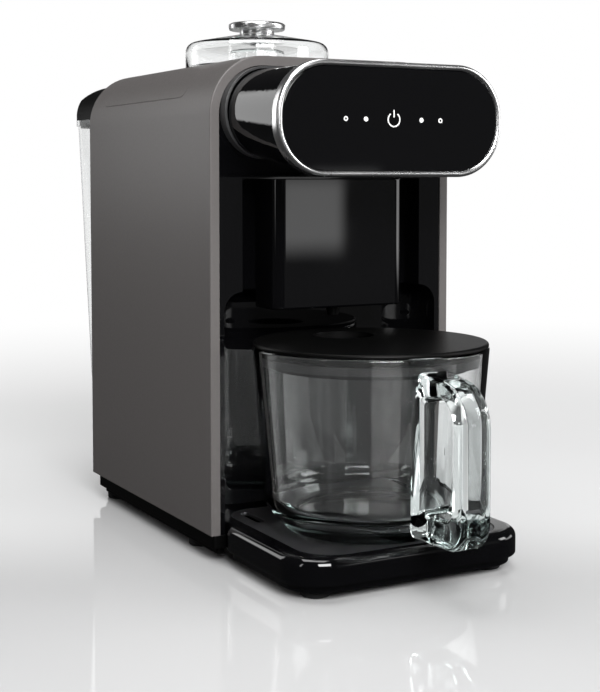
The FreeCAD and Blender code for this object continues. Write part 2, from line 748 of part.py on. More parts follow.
def make_pitcher_lid():
    disc = turned([(0, lid_low, 0), (74.6, lid_low, 0), (74.6, lid_top, 1.6), (0, lid_top, 0)],
                  pitcher_y)
    skirt = ring(65.2, 62.6, lid_low - 128.0, (0, pitcher_y, 128.0))
    groove = ring(67, 63.9, 5.0, (0, pitcher_y, 131.0))
    dish_outer = rod(22.0, lid_low - 135.4, (0, dish_y, 135.4))
    dish_inner = rod(20.0, 20, (0, dish_y, 137.6))
    hole = rod(8.0, 20, (0, pour_hole_y, 130.0))
    lid = fused([disc, skirt.cut(groove), dish_outer])
    return cut_all(lid, [dish_inner, hole])


keep("pitcher", make_pitcher())
keep("pitcher_lid", make_pitcher_lid())
keep("pitcher_lid_gasket", ring(inside_radius(131.0) - 0.4, 63.9, 5.0, (0, pitcher_y, 131.0)))


# ---- water tank ------------------------------------------------------------------------------
def tank_back(z):
    return tank_rim_back - tank_lean * (tank_rim - z)


def tank_loft(inset, z0, z1):
    """Tank outline lofted between two heights; its back leans outwards."""
    wires = []
    for z in (z0, z1):
        corners = rect(-tank_half + inset, tank_half - inset, tank_front + inset,
                       tank_back(z) - inset, max(4 - inset, 1.5), 20 - inset)
        wires.append(rounded_wire(corners, lambda u, v, z=z: V(u, v, z)))
    return Part.makeLoft(wires, True, True)


def make_tank():
    outer = tank_loft(0, tank_low, tank_rim)
    inner = tank_loft(tank_wall, tank_low + tank_wall, tank_rim + 1)
    rim = tank_loft(-1.2, tank_rim - 4.5, tank_rim).cut(tank_loft(tank_wall, tank_rim - 5, tank_rim + 1))
    neck = rod(7.6, 14.0, (0, valve_y, tank_low - 14.0))
    tank = fused([outer.cut(inner), rim, neck])
    return tank.cut(rod(5.6, 18.2, (0, valve_y, tank_low - 15)))


def make_tank_cap():
    top = shell_top - 5.0
    low = tank_rim + 0.3
    back = tank_rim_back + 1.0

    def dome_block(inset, bottom):
        """Block with the shell's rounded top, a rounded back and rounded rear corners."""
        half = tank_half + 1 - inset
        y0, y1, high = tank_front - 0.9 + inset, back - inset, top - inset
        side = slab_x([(y0, bottom, 0), (y1, bottom, 0), (y1, high, 24 - inset), (y0, high, 0)],
                      -half, half)
        plan = slab_z(rect(-half, half, y0, y1, 0, 21 - inset), bottom, high + 1)
        face = slab_y(rect(-half, half, bottom - 40, high, 0, 33 - inset), y0 - 1, y1 + 1)
        return side.common(plan).common(face)

    cap = dome_block(0, low).cut(dome_block(skin, low - 1))
    skirt = tank_loft(tank_wall + 0.5, low - 6, low).cut(tank_loft(tank_wall + 2.3, low - 7, low + 1))
    shelf = tank_loft(0, low, low + 2.0).cut(tank_loft(tank_wall + 2.3, low - 1, low + 3))
    return fused([cap, skirt, shelf])


keep("water_tank", make_tank())
keep("tank_cap", make_tank_cap())


def make_valve_plunger():
    stem = rod(2.0, 20.0, (0, valve_y, tank_low - 16.5))
    disc = rod(5.2, 1.8, (0, valve_y, tank_low - 14.0))
    head = rod(7.4, 2.2, (0, valve_y, tank_low + tank_wall + 0.3))
    return fused([stem, disc, head])


keep("tank_valve_plunger", make_valve_plunger())
keep("tank_seal", ring(8.85, 7.6, 3.0, (0, valve_y, tank_low - 12.0)))


# ---- write one STEP per sub-part ---------------------------------------------------------------
def main():
    os.makedirs("parts", exist_ok=True)
    whole = FreeCAD.BoundBox()
    for name, shape in nodes.items():
        if not shape.isValid() or shape.Volume <= 0:
            print("problem:", name, shape.isValid(), round(shape.Volume, 1))
        whole.add(shape.BoundBox)
        shape.exportStep(os.path.join("parts", name + ".step"))
    print(len(nodes), "nodes")
    print("box", [round(v, 2) for v in (whole.XMin, whole.XMax, whole.YMin, whole.YMax,
                                        whole.ZMin, whole.ZMax)])


main()
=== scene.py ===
# %% [markdown]
# # A countertop drinks maker
# The machine stands on a bench: a tall painted steel shell with a glossy black
# front, a blender chamber under a clear dome lid, a touch face on a short
# barrel, a glass pitcher on a drip tray, and a water tank at the back.
# The engineering model comes first, as a fixed frame. Every piece made here is
# placed by that frame, so nothing has to be fitted by eye.

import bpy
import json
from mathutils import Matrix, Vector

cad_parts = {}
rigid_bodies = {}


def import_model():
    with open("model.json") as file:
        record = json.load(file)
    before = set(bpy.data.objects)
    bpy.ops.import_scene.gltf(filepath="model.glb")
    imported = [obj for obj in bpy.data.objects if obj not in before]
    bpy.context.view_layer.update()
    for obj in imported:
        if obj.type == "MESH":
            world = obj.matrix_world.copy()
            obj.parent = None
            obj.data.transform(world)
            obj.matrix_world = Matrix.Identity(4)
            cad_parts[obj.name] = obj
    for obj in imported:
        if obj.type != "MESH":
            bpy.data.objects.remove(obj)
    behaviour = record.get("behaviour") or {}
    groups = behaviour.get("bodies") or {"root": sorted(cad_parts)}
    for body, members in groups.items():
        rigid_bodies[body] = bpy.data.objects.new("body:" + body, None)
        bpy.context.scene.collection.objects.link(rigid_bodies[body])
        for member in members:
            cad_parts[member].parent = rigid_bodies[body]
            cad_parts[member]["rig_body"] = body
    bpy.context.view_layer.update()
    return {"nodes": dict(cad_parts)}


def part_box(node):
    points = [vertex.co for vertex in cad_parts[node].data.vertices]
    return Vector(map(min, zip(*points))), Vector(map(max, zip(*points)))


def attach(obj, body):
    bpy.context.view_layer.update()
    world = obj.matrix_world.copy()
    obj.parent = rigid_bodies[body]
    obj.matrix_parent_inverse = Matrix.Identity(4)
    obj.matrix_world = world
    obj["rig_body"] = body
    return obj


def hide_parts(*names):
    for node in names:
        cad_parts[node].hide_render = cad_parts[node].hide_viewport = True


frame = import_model()

# %% [markdown]
# ## Units, colours and one node helper
# Blender works in metres and in linear light. Sizes are written here in
# millimetres and colours as the hex codes that a paint program shows, so two
# small helpers turn them into what Blender wants. A third adds one shader or
# geometry node with its settings and its links in a single call.

# %% Helpers for units, colours and nodes
import json
import math

import bmesh
import bpy
from mathutils import Matrix, Vector

MM = 0.001


def linear(code):
    """An sRGB hex colour as linear red, green, blue and alpha."""
    parts = [int(code[i:i + 2], 16) / 255 for i in (1, 3, 5)]
    return [c / 12.92 if c <= 0.04045 else ((c + 0.055) / 1.055) ** 2.4 for c in parts] + [1.0]


def per(mm):
    """The texture scale that gives features of about this many millimetres."""
    return 1 / (mm * MM)


def add(tree, kind, inputs=None, **settings):
    """Add a node. inputs maps a socket's name or number to a value or to another socket."""
    node = tree.nodes.new(kind)
    for key, value in settings.items():
        setattr(node, key, value)
    for key, value in (inputs or {}).items():
        if isinstance(value, bpy.types.NodeSocket):
            tree.links.new(value, node.inputs[key])
        else:
            node.inputs[key].default_value = value
    return node


def span(node_name):
    """A node's lowest and highest corner in millimetres."""
    low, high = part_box(node_name)
    return low / MM, high / MM


shell_low, shell_high = span("shell")
ring_low, ring_high = span("face_ring")
front = shell_low.y
print("shell depth in mm:", round(shell_high.y - front, 1))

# %% [markdown]
# ## The camera
# A long lens from the front left, a little above the pitcher, shows the tall
# side, the face plate and the tray together with little distortion. A vertical
# shift does part of the work of a tilt, so the uprights stay nearly parallel.

# %% Camera
camera_data = bpy.data.cameras.new("bench_camera")
camera_data.lens = 71.313
camera_data.sensor_width = 36
camera_data.shift_y = -0.12
camera = bpy.data.objects.new("bench_camera", camera_data)
bpy.context.scene.collection.objects.link(camera)
camera.location = (-0.45015, -0.84469, 0.24741)
camera.rotation_euler = (math.pi / 2 - 0.06267, 0, -0.49551)
bpy.context.scene.camera = camera
bpy.context.scene.view_settings.view_transform = "Standard"
print("camera height in m:", round(camera.location.z, 3))

# %% [markdown]
# ## Floor, backdrop and light
# Glossy black plastic has almost no colour of its own: what the eye sees is the
# studio in its surface. So the room is white to the camera, dark to reflections,
# and light at the back to a ray that has passed through glass. A few soft cards
# give each black surface its bright patch.
# The floor is a pale polished sheet that shows a faint mirror of the machine. Away from the machine it
# turns into a painted white glow, so it is brighter the further it lies from the machine.

# %% World
world = bpy.data.worlds.new("studio")
bpy.context.scene.world = world
world.use_nodes = True
world.node_tree.nodes.clear()
tree = world.node_tree
ray = add(tree, "ShaderNodeLightPath")
toward = add(tree, "ShaderNodeTexCoord").outputs["Generated"]
facing = add(tree, "ShaderNodeVectorMath", {0: toward, 1: (0.475, 0.88, 0.0)},
             operation="DOT_PRODUCT")
back_wall = add(tree, "ShaderNodeMapRange", {0: facing.outputs["Value"], 1: -0.05, 2: 0.35,
                                             3: 0.12, 4: 1.0})
through = add(tree, "ShaderNodeMath", {0: ray.outputs["Is Transmission Ray"],
                                       1: back_wall.outputs[0]}, operation="MULTIPLY")
level = add(tree, "ShaderNodeMath", {0: through.outputs[0], 1: 0.03}, operation="MAXIMUM")
dim = add(tree, "ShaderNodeBackground", {"Color": linear("#ffffff"), 1: level.outputs[0]})
bright = add(tree, "ShaderNodeBackground", {"Color": linear("#ffffff"), "Strength": 1.0})
blend = add(tree, "ShaderNodeMixShader", {0: ray.outputs["Is Camera Ray"], 1: dim.outputs[0],
                                          2: bright.outputs[0]})
add(tree, "ShaderNodeOutputWorld", {"Surface": blend.outputs[0]})


# %% Floor and cards
def card(name, corners, strength, fade):
    """A flat glowing card. fade is how much of its width and height goes clear at the rim."""
    mesh = bpy.data.meshes.new(name)
    mesh.from_pydata([Vector(c) for c in corners], [], [(0, 1, 2, 3)])
    layer = mesh.uv_layers.new(name="card")
    for loop, uv in zip(layer.data, ((0, 0), (1, 0), (1, 1), (0, 1))):
        loop.uv = uv
    material = bpy.data.materials.new(name + "_glow")
    material.use_nodes = True
    tree = material.node_tree
    tree.nodes.clear()
    place = add(tree, "ShaderNodeUVMap", uv_map="card")
    axes = add(tree, "ShaderNodeSeparateXYZ", {0: place.outputs[0]})
    level = None
    for axis, soft in zip("XY", fade):
        away = add(tree, "ShaderNodeMath", {0: axes.outputs[axis], 1: 0.5}, operation="SUBTRACT")
        away = add(tree, "ShaderNodeMath", {0: away.outputs[0]}, operation="ABSOLUTE")
        edge = add(tree, "ShaderNodeMapRange",
                   {0: away.outputs[0], 1: 0.5, 2: 0.499 - soft, 3: 0.0, 4: 1.0},
                   interpolation_type="SMOOTHSTEP")
        if level is None:
            level = edge.outputs[0]
        else:
            level = add(tree, "ShaderNodeMath", {0: level, 1: edge.outputs[0]},
                        operation="MULTIPLY").outputs[0]
    glow = add(tree, "ShaderNodeEmission", {"Color": linear("#ffffff"), "Strength": strength})
    clear = add(tree, "ShaderNodeBsdfTransparent")
    faded = add(tree, "ShaderNodeMixShader", {0: level, 1: clear.outputs[0], 2: glow.outputs[0]})
    add(tree, "ShaderNodeOutputMaterial", {"Surface": faded.outputs[0]})
    mesh.materials.append(material)
    obj = bpy.data.objects.new(name, mesh)
    bpy.context.scene.collection.objects.link(obj)
    obj.visible_camera = False
    obj.visible_shadow = False


def upright(x, y, z0, z1, half, heading):
    """Corners of an upright card that faces back along a heading, in radians from +Y."""
    side = Vector((math.cos(heading), -math.sin(heading), 0)) * half
    middle = Vector((x, y, 0))
    return [middle - side + Vector((0, 0, z0)), middle + side + Vector((0, 0, z0)),
            middle + side + Vector((0, 0, z1)), middle - side + Vector((0, 0, z1))]


floor_mesh = bpy.data.meshes.new("floor")
rim = [(6 * math.cos(a), 6 * math.sin(a), -0.0002) for a in
       (2 * math.pi * k / 96 for k in range(96))]
floor_mesh.from_pydata(rim, [], [tuple(range(96))])
floor = bpy.data.objects.new("floor", floor_mesh)
bpy.context.scene.collection.objects.link(floor)
floor.visible_glossy = False

polished = bpy.data.materials.new("polished_white_sheet")
polished.use_nodes = True
tree = polished.node_tree
tree.nodes.clear()
place = add(tree, "ShaderNodeTexCoord").outputs["Object"]
distance = add(tree, "ShaderNodeVectorMath", {0: place, 1: (0.05, -0.05, 0)}, operation="DISTANCE")
far = add(tree, "ShaderNodeMapRange", {0: distance.outputs["Value"], 1: 0.35, 2: 1.5},
          interpolation_type="SMOOTHSTEP")
cloud = add(tree, "ShaderNodeTexNoise", {"Vector": place, "Scale": per(400), "Detail": 2.0})
tone = add(tree, "ShaderNodeMix", {0: cloud.outputs[0], 6: linear("#bababb"), 7: linear("#c0c0c0")},
           data_type="RGBA")
sheet = add(tree, "ShaderNodeBsdfPrincipled",
            {"Base Color": tone.outputs[2], "Roughness": 0.035, "IOR": 1.5})
# Painted glow: between 0.35 m and 1.5 m from the machine the sheet gives way to white emission, so the
# floor is painted brighter the further it lies.
glow = add(tree, "ShaderNodeEmission", {"Color": linear("#ffffff"), "Strength": 1.0})
painted_glow_blend = add(tree, "ShaderNodeMixShader", {0: far.outputs[0], 1: sheet.outputs[0], 2: glow.outputs[0]})
add(tree, "ShaderNodeOutputMaterial", {"Surface": painted_glow_blend.outputs[0]})
floor_mesh.materials.append(polished)

heading = 0.4955
card("backdrop", upright(1.25, 2.6, 0.0, 0.95, 1.25, heading), 1.0, (0.06, 0.25))
card("front_card", upright(0.765, -1.5, 0.085, 0.275, 0.085, 0.0), 2.2, (0.2, 0.3))
card("front_fill", upright(0.9, -1.62, -0.25, 0.7, 0.6, 0.0), 0.12, (0.1, 0.03))
card("right_card", upright(1.7, -0.6, 0.02, 0.5, 0.7, 1.4), 2.6, (0.12, 0.2))
card("left_card", upright(-0.66, 0.95, 0.18, 0.86, 0.34, 0.5), 2.6, (0.15, 0.12))
card("left_strip", upright(-1.5, -0.5, 0.1, 1.2, 0.08, 1.3), 5.0, (0.3, 0.2))
card("front_strip", upright(-0.1, -1.9, 0.2, 1.3, 0.02, 0.0), 14.0, (0.3, 0.2))


def area(name, location, size, power):
    """A square area light that points at the middle of the machine."""
    data = bpy.data.lights.new(name, "AREA")
    data.shape = "RECTANGLE"
    data.size = size[0]
    data.size_y = size[1]
    data.energy = power
    lamp = bpy.data.objects.new(name, data)
    bpy.context.scene.collection.objects.link(lamp)
    lamp.location = location
    aim = Vector((0, 0, 0.15)) - Vector(location)
    lamp.rotation_euler = aim.to_track_quat("-Z", "Y").to_euler()
    lamp.visible_camera = False


area("key", (-0.45, -1.85, 1.3), (1.1, 1.1), 74)
area("overhead", (-0.1, 0.1, 2.2), (1.4, 1.4), 34)
area("right_fill", (1.8, -1.3, 0.9), (0.8, 0.8), 16)

# %% [markdown]
# ## Starting a material
# Each finish begins with Blender's Principled shader, which covers metal,
# plastic, paint and glass. Patterns are placed by Object coordinates, so their
# size on the surface is a real size in millimetres.

# %% Start a finish
finishes = {}


def new_finish(slot, name, **sockets):
    """A material with a Principled shader; sockets gives its plain values."""
    material = bpy.data.materials.new(name)
    material.use_nodes = True
    tree = material.node_tree
    tree.nodes.clear()
    place = add(tree, "ShaderNodeTexCoord").outputs["Object"]
    values = {key.replace("_", " "): value for key, value in sockets.items()}
    shader = add(tree, "ShaderNodeBsdfPrincipled", values)
    add(tree, "ShaderNodeOutputMaterial", {"Surface": shader.outputs[0]})
    finishes[slot] = material
    return tree, place, shader


def vary(tree, place, shader, colours, grain, rough, depth, detail=3.0):
    """Drive colour, roughness and a fine bump from one noise with this grain in mm."""
    noise = add(tree, "ShaderNodeTexNoise", {"Vector": place, "Scale": per(grain), "Detail": detail})
    tint = add(tree, "ShaderNodeMix", {0: noise.outputs[0], 6: linear(colours[0]),
                                       7: linear(colours[1])}, data_type="RGBA")
    sheen = add(tree, "ShaderNodeMapRange", {0: noise.outputs[0], 1: 0.3, 2: 0.7,
                                             3: rough[0], 4: rough[1]})
    bump = add(tree, "ShaderNodeBump", {"Strength": 0.5, "Distance": depth * MM,
                                        "Height": noise.outputs[0]})
    tree.links.new(tint.outputs[2], shader.inputs["Base Color"])
    tree.links.new(sheen.outputs[0], shader.inputs["Roughness"])
    tree.links.new(bump.outputs[0], shader.inputs["Normal"])


# %% [markdown]
# ## Painted, moulded and plated finishes
# Powder coat is sprayed dry and baked, so it has a soft orange-peel and a satin
# sheen. Moulded ABS from a polished tool is nearly a mirror, with the slow
# ripple of a large thin wall. Chrome plating copies whatever is beneath it.

# %% Paint and plastics
tree, place, shader = new_finish("shell_paint", "powder_coated_steel", Specular_IOR_Level=0.35)
vary(tree, place, shader, ("#565352", "#5b5857"), 1.6, (0.34, 0.42), 0.012)

tree, place, shader = new_finish("black_gloss", "polished_black_abs", IOR=1.5)
vary(tree, place, shader, ("#040405", "#060607"), 42, (0.02, 0.05), 0.02, 1.0)

tree, place, shader = new_finish("black_glass", "back_printed_touch_glass", IOR=1.52)
vary(tree, place, shader, ("#020203", "#030304"), 60, (0.015, 0.03), 0.004, 0.0)

tree, place, shader = new_finish("dark_satin", "satin_black_abs", IOR=1.5)
vary(tree, place, shader, ("#2a2a2b", "#303031"), 0.8, (0.32, 0.42), 0.01)

tree, place, shader = new_finish("black_matte", "textured_black_polypropylene", IOR=1.49,
                                 Specular_IOR_Level=0.12)
vary(tree, place, shader, ("#020202", "#040404"), 0.9, (0.36, 0.46), 0.015)

tree, place, shader = new_finish("chrome", "polished_chrome_plating", Metallic=1.0)
vary(tree, place, shader, ("#e8e8e9", "#f0f0f0"), 30, (0.24, 0.3), 0.003, 1.0)

tree, place, shader = new_finish("dark_metal", "polished_dark_stainless", Metallic=1.0)
vary(tree, place, shader, ("#77777a", "#808082"), 25, (0.38, 0.46), 0.004, 1.0)

# %% Rubber, silicone and white plastic
tree, place, shader = new_finish("rubber", "moulded_black_rubber")
vary(tree, place, shader, ("#101011", "#1a1a1b"), 0.6, (0.6, 0.75), 0.03)

tree, place, shader = new_finish("silicone", "translucent_silicone", Subsurface_Weight=0.2,
                                 Subsurface_Scale=0.002)
vary(tree, place, shader, ("#c9cbca", "#dadcdb"), 3.0, (0.35, 0.5), 0.02)

tree, place, shader = new_finish("white_plastic", "turned_white_acetal")
vary(tree, place, shader, ("#dedcd6", "#eae8e2"), 2.0, (0.35, 0.45), 0.01)

# %% [markdown]
# ## Bare metals
# A metal's look is its colour and the direction of its scratches. Brushed and
# turned steel is scratched one way, which a noise stretched along one axis
# gives. Cast and zinc-plated parts show round crystals, which Voronoi cells give.

# %% Brushed and turned metals
for slot, name, light, dark, rough in (
        ("steel", "brushed_stainless_steel", "#c4c5c6", "#a9abac", (0.22, 0.36)),
        ("brass", "turned_brass", "#c9a75a", "#b08d45", (0.2, 0.34)),
        ("aluminium", "cast_aluminium", "#b9bbbd", "#a0a2a4", (0.38, 0.52))):
    tree, place, shader = new_finish(slot, name, Metallic=1.0)
    stretch = add(tree, "ShaderNodeMapping", {0: place, "Scale": (1.0, 1.0, 14.0)})
    vary(tree, stretch.outputs[0], shader, (dark, light), 3.0, rough, 0.006)

tree, place, shader = new_finish("zinc_steel", "zinc_plated_sheet_steel", Metallic=1.0)
cells = add(tree, "ShaderNodeTexVoronoi", {"Vector": place, "Scale": per(6)})
tint = add(tree, "ShaderNodeMix", {0: cells.outputs["Color"], 6: linear("#9a9d9f"),
                                   7: linear("#b6b9ba")}, data_type="RGBA")
sheen = add(tree, "ShaderNodeMapRange", {0: cells.outputs["Distance"], 3: 0.28, 4: 0.45})
tree.links.new(tint.outputs[2], shader.inputs["Base Color"])
tree.links.new(sheen.outputs[0], shader.inputs["Roughness"])

# %% [markdown]
# ## Circuit board
# A bare board is green solder mask over copper tracks. One brick pattern with
# rows 2 mm apart stands for the tracks.

# %% Circuit board
tree, place, shader = new_finish("circuit_board", "green_solder_mask", Roughness=0.38)
swap = add(tree, "ShaderNodeVectorRotate", {"Vector": place, "Angle": math.pi / 2},
           rotation_type="Y_AXIS")
tracks = add(tree, "ShaderNodeTexBrick", {"Vector": swap.outputs[0], "Color1": linear("#12402b"),
                                          "Color2": linear("#154a31"), "Mortar": linear("#2c6a48"),
                                          "Scale": per(8), "Mortar Size": 0.04})
tree.links.new(tracks.outputs["Color"], shader.inputs["Base Color"])

# %% [markdown]
# ## Clear parts
# Pressed glass bends light by an IOR of about 1.47 and is faintly blue-green
# where it is thick, which absorption inside the glass gives. The clear plastic
# of the dome and the tank bends light a little less and has a paler tint.

# %% Glass and clear plastic
for slot, name, ior, body, density, ripple_mm in (
        ("clear_glass", "pressed_clear_glass", 1.47, "#bfe6e0", 9.0, 0.02),
        ("clear_plastic", "clear_moulded_plastic", 1.45, "#cfe4e0", 12.0, 0.002)):
    tree, place, shader = new_finish(slot, name, Transmission_Weight=1.0, IOR=ior,
                                     Base_Color=linear("#ffffff"))
    ripple = add(tree, "ShaderNodeTexNoise", {"Vector": place, "Scale": per(24), "Detail": 0.0})
    sheen = add(tree, "ShaderNodeMapRange", {0: ripple.outputs[0], 3: 0.0, 4: 0.02})
    wave = add(tree, "ShaderNodeBump", {"Strength": 0.3, "Distance": ripple_mm * MM,
                                        "Height": ripple.outputs[0]})
    tree.links.new(sheen.outputs[0], shader.inputs["Roughness"])
    tree.links.new(wave.outputs[0], shader.inputs["Normal"])
    depth = add(tree, "ShaderNodeVolumeAbsorption", {"Color": linear(body), "Density": density})
    output = [n for n in tree.nodes if n.bl_idname == "ShaderNodeOutputMaterial"][0]
    tree.links.new(depth.outputs[0], output.inputs["Volume"])
print("finishes:", len(finishes))

# %% [markdown]
# ## Making a piece
# A piece needs a mesh, a finish, a body to ride on and the frame nodes that it
# stands for. One helper does that last step for every piece.

# %% Helpers for pieces
slot_of = {name: obj.data.materials[0].name.split(".")[0] for name, obj in frame["nodes"].items()}


def stand_for(mesh, name, nodes):
    """Turn a mesh into a piece that replaces these frame nodes and moves with their body."""
    slot = slot_of[nodes[0]]
    piece = bpy.data.objects.new(name, mesh)
    bpy.context.scene.collection.objects.link(piece)
    mesh.materials.clear()
    mesh.materials.append(finishes[slot])
    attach(piece, frame["nodes"][nodes[0]]["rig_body"])
    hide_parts(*nodes)
    return piece


def shade(mesh, degrees=35):
    """Smooth shading that keeps corners sharper than this angle."""
    mesh.shade_smooth()
    mesh.set_sharp_from_angle(angle=math.radians(degrees))


# %% [markdown]
# ## Covers and housings
# Moulded covers are flat walls with small round edges. Their frame nodes already
# have the right walls, but as loose triangles with knife edges, which catch no
# light. A merged copy with a narrow bevel and weighted normals keeps the walls
# flat and gives each edge the thin bright line that real plastic has.

# %% Bevelled copies of the covers
def soften_copy(node, name, radius, degrees=32, segments=3):
    """A merged copy of a frame node whose sharp edges are rounded to radius mm."""
    mesh = frame["nodes"][node].data.copy()
    mesh.name = name
    if "custom_normal" in mesh.attributes:
        mesh.attributes.remove(mesh.attributes["custom_normal"])
    work = bmesh.new()
    work.from_mesh(mesh)
    bmesh.ops.remove_doubles(work, verts=work.verts, dist=0.002 * MM)
    bmesh.ops.dissolve_limit(work, angle_limit=math.radians(0.6), verts=work.verts,
                             edges=work.edges)
    work.to_mesh(mesh)
    work.free()
    shade(mesh, degrees)
    piece = stand_for(mesh, name, [node])
    bevel = piece.modifiers.new("round_edges", "BEVEL")
    bevel.width = radius * MM
    bevel.segments = segments
    bevel.limit_method = "ANGLE"
    bevel.angle_limit = math.radians(degrees)
    bevel.use_clamp_overlap = True
    weight = piece.modifiers.new("flat_walls", "WEIGHTED_NORMAL")
    weight.keep_sharp = True
    return piece


for node, name, radius in (
        ("shell", "painted_shell", 0.4), ("top_cover", "painted_top_cover", 0.35),
        ("fascia", "black_fascia", 0.5), ("outlet_housing", "outlet_block", 0.5),
        ("base_pan", "base_moulding", 0.6), ("rear_panel", "rear_moulding", 0.5),
        ("tank_seat", "tank_shelf", 0.6), ("drip_tray", "tray_body", 0.4),
        ("tray_plate", "tray_cover_plate", 0.25), ("pitcher_lid", "pitcher_cover", 0.4),
        ("tank_cap", "tank_cover", 0.5), ("head_barrel", "head_sleeve", 0.2),
        ("face_plate", "touch_plate", 0.3), ("trim_ring", "sleeve_trim", 0.4)):
    piece = soften_copy(node, name, radius)
    print(name, len(piece.data.polygons))

# %% [markdown]
# ## The bright ring round the touch plate
# The ring is one section carried round a rounded rectangle, which is exactly
# what Curve to Mesh does. Geometry Nodes draw the outline and the section from
# named sizes, so a wider or rounder ring is a change of one number.

# %% A tree that sweeps a section round a rounded rectangle
def close_tree(tree, geometry, finish):
    """End a tree in Realize Instances and Set Material, and wire the output."""
    real = add(tree, "GeometryNodeRealizeInstances", {0: geometry})
    paint = add(tree, "GeometryNodeSetMaterial", {0: real.outputs[0]})
    paint.inputs["Material"].default_value = finish
    add(tree, "NodeGroupOutput", {0: paint.outputs[0]})


def open_tree(name, sizes):
    """A geometry tree with a geometry input and these named inputs with their values."""
    tree = bpy.data.node_groups.new(name, "GeometryNodeTree")
    tree.interface.new_socket("Geometry", in_out="INPUT", socket_type="NodeSocketGeometry")
    tree.interface.new_socket("Geometry", in_out="OUTPUT", socket_type="NodeSocketGeometry")
    for key, kind in sizes.items():
        tree.interface.new_socket(key, in_out="INPUT", socket_type="NodeSocket" + kind)
    return tree, add(tree, "NodeGroupInput")


def grow(tree, start, values):
    """Run a geometry tree on a start mesh and return the plain mesh that it makes."""
    obj = bpy.data.objects.new(tree.name, start)
    bpy.context.scene.collection.objects.link(obj)
    modifier = obj.modifiers.new(tree.name, "NODES")
    modifier.node_group = tree
    for item in tree.interface.items_tree:
        if item.in_out == "INPUT" and item.name in values:
            modifier[item.identifier] = values[item.name]
    view = bpy.context.evaluated_depsgraph_get()
    mesh = bpy.data.meshes.new_from_object(obj.evaluated_get(view))
    obj.modifiers.remove(modifier)
    bpy.data.objects.remove(obj)
    return mesh


def ring_tree(name, finish):
    tree, given = open_tree(name, {"Width": "Float", "Height": "Float", "Round": "Float",
                                   "Band": "Float", "Depth": "Float", "Edge": "Float",
                                   "Middle": "Vector"})
    socket = given.outputs
    path = add(tree, "GeometryNodeCurvePrimitiveQuadrilateral",
               {"Width": socket["Width"], "Height": socket["Height"]})
    path = add(tree, "GeometryNodeFilletCurve", {"Curve": path.outputs[0],
                                                 "Radius": socket["Round"], "Count": 28},
               mode="POLY")
    section = add(tree, "GeometryNodeCurvePrimitiveQuadrilateral",
                  {"Width": socket["Band"], "Height": socket["Depth"]})
    section = add(tree, "GeometryNodeFilletCurve", {"Curve": section.outputs[0],
                                                    "Radius": socket["Edge"], "Count": 6},
                  mode="POLY")
    swept = add(tree, "GeometryNodeCurveToMesh", {"Curve": path.outputs[0],
                                                  "Profile Curve": section.outputs[0]})
    stood = add(tree, "GeometryNodeTransform", {"Geometry": swept.outputs[0],
                                                "Translation": socket["Middle"],
                                                "Rotation": (math.pi / 2, 0, 0)})
    close_tree(tree, stood.outputs[0], finish)
    return tree


# %% The chrome ring
band = 3.8
outer_round = 33.0
section_round = 1.86
plate_low, plate_high = span("face_plate")
size = ring_high - ring_low
middle = (ring_high + ring_low) / 2
mesh = grow(ring_tree("chrome_ring_sweep", finishes["chrome"]), bpy.data.meshes.new("seed"), {
    "Width": (size.x - band) * MM, "Height": (size.z - band) * MM,
    "Round": (outer_round - band / 2) * MM, "Band": band * MM, "Depth": size.y * MM,
    "Edge": section_round * MM, "Middle": middle * MM})
work = bmesh.new()
work.from_mesh(mesh)
bmesh.ops.recalc_face_normals(work, faces=work.faces)
work.to_mesh(mesh)
work.free()
shade(mesh, 40)
stand_for(mesh, "chrome_face_ring", ["face_ring"])
print("ring faces:", len(mesh.polygons))

# %% [markdown]
# ## Turned pieces
# The dome, the knob and the pitcher's bowl are round, so each is one outline spun about an upright
# axis. The outline's corners get real radii first, because a radius is what makes the edge of glass or
# metal shine.

# %% Helpers for outlines and spinning
def rounded(corners, steps=6, closed=True):
    """Points through (u, v, radius) corners in mm, with each corner made an arc."""
    points = []
    count = len(corners)
    for i, (u, v, radius) in enumerate(corners):
        here = Vector((u, v))
        if radius <= 0 or (not closed and i in (0, count - 1)):
            points.append(here)
            continue
        back = (Vector(corners[i - 1][:2]) - here).normalized()
        ahead = (Vector(corners[(i + 1) % count][:2]) - here).normalized()
        half = back.angle(ahead) / 2
        reach = radius / math.tan(half)
        centre = here + (back + ahead).normalized() * radius / math.sin(half)
        start = here + back * reach - centre
        turn = start.angle_signed(here + ahead * reach - centre)
        for k in range(steps + 1):
            angle = -turn * k / steps
            points.append(centre + Matrix.Rotation(angle, 2) @ start)
    return points


def spin(name, outline, centre_y, turns=112):
    """A mesh of revolution about x = 0, y = centre_y; an outline point at radius 0 is a pole."""
    work = bmesh.new()
    rings = []
    for radius, z in outline:
        if radius < 0.001:
            rings.append([work.verts.new((0, centre_y * MM, z * MM))])
            continue
        rings.append([work.verts.new((radius * math.cos(a) * MM,
                                      (centre_y + radius * math.sin(a)) * MM, z * MM))
                      for a in (2 * math.pi * k / turns for k in range(turns))])
    for this, other in zip(rings, rings[1:] + rings[:1]):
        if len(this) == 1 and len(other) == 1:
            continue
        for k in range(turns):
            nxt = (k + 1) % turns
            quad = [this[k % len(this)], this[nxt % len(this)],
                    other[nxt % len(other)], other[k % len(other)]]
            work.faces.new(list(dict.fromkeys(quad)))
    bmesh.ops.recalc_face_normals(work, faces=work.faces)
    mesh = bpy.data.meshes.new(name)
    work.to_mesh(mesh)
    work.free()
    shade(mesh, 32)
    return mesh


# %% Dome lid and knob
dome_low, dome_high = span("dome_lid")
knob_low, knob_high = span("lid_knob")
mill_y = (dome_low.y + dome_high.y) / 2
wall = 2.4
reach = dome_high.x
crown = dome_high.z
dome = rounded([(reach - wall, dome_low.z, 0.5), (reach, dome_low.z, 0.5),
                (reach, crown - 7.3, 7), (13, crown, 40), (3.3, crown, 0.3),
                (3.3, crown - wall, 0.3), (12, crown - wall, 38), (reach - wall, crown - 9.5, 5)])
stand_for(spin("clear_dome", dome, mill_y), "clear_dome", ["dome_lid"])

